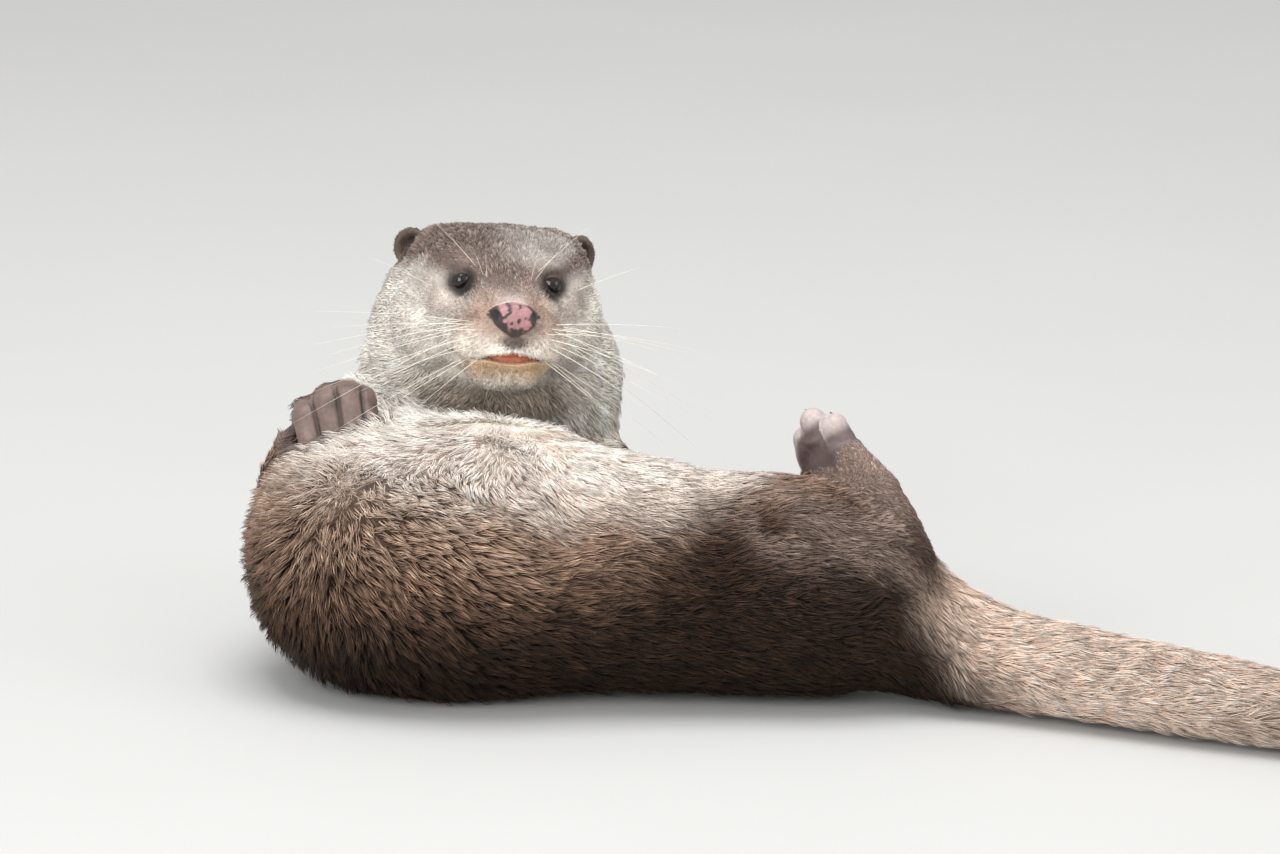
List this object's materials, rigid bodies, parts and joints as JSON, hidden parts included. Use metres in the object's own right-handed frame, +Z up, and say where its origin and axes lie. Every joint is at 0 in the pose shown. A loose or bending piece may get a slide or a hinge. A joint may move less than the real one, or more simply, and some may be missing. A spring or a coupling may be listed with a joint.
{
  "type": "otter",
  "caption": "Life-size Eurasian otter lying on its back, head raised to look over its chest, hind part and tail curled to its left.",
  "frame": {"origin": "middle of the model's box, on the floor it lies on", "axes": "+Z up, +X from the curled chest to the tail, -Y towards the side the face looks to"},
  "size_m": [0.6942, 0.347, 0.2193],
  "materials": {
    "eye_black": "wet, glossy eye",
    "nose_skin": "bare skin, pink with grey blotches",
    "mouth_skin": "moist pink skin",
    "claw_horn": "dark horn",
    "paw_skin": "bare grey-brown skin",
    "fur_cream": "short cream fur",
    "fur_fawn": "fawn fur",
    "fur_brown": "brown fur with lighter tips"
  },
  "bodies": {
    "root": {"belly": "fur_cream", "chest": "fur_brown", "claw_forepaw_left_1": "claw_horn", "claw_forepaw_left_2": "claw_horn", "claw_forepaw_left_3": "claw_horn", "claw_forepaw_left_4": "claw_horn", "claw_forepaw_left_5": "claw_horn", "claw_forepaw_right_1": "claw_horn", "claw_forepaw_right_2": "claw_horn", "claw_forepaw_right_3": "claw_horn", "claw_forepaw_right_4": "claw_horn", "claw_forepaw_right_5": "claw_horn", "claw_hind_foot_left_1": "claw_horn", "claw_hind_foot_left_2": "claw_horn", "claw_hind_foot_left_3": "claw_horn", "claw_hind_foot_left_4": "claw_horn", "claw_hind_foot_left_5": "claw_horn", "claw_hind_foot_right_1": "claw_horn", "claw_hind_foot_right_2": "claw_horn", "claw_hind_foot_right_3": "claw_horn", "claw_hind_foot_right_4": "claw_horn", "claw_hind_foot_right_5": "claw_horn", "ear_left": "fur_brown", "ear_right": "fur_brown", "eye_left": "eye_black", "eye_right": "eye_black", "flank": "fur_brown", "forearm_left": "fur_brown", "forearm_right": "fur_brown", "forepaw_left": "paw_skin", "forepaw_right": "paw_skin", "head": "fur_brown", "hind_foot_left": "paw_skin", "hind_foot_right": "paw_skin", "hips": "fur_brown", "lower_jaw": "fur_cream", "muzzle": "fur_cream", "neck": "fur_cream", "nose": "nose_skin", "shin_left": "fur_brown", "shin_right": "fur_brown", "tail_base": "fur_fawn", "tail_middle": "fur_fawn", "tail_tip": "fur_fawn", "thigh_left": "fur_brown", "thigh_right": "fur_brown", "tongue": "mouth_skin", "upper_arm_left": "fur_brown", "upper_arm_right": "fur_brown"}
  },
  "joints": []
}
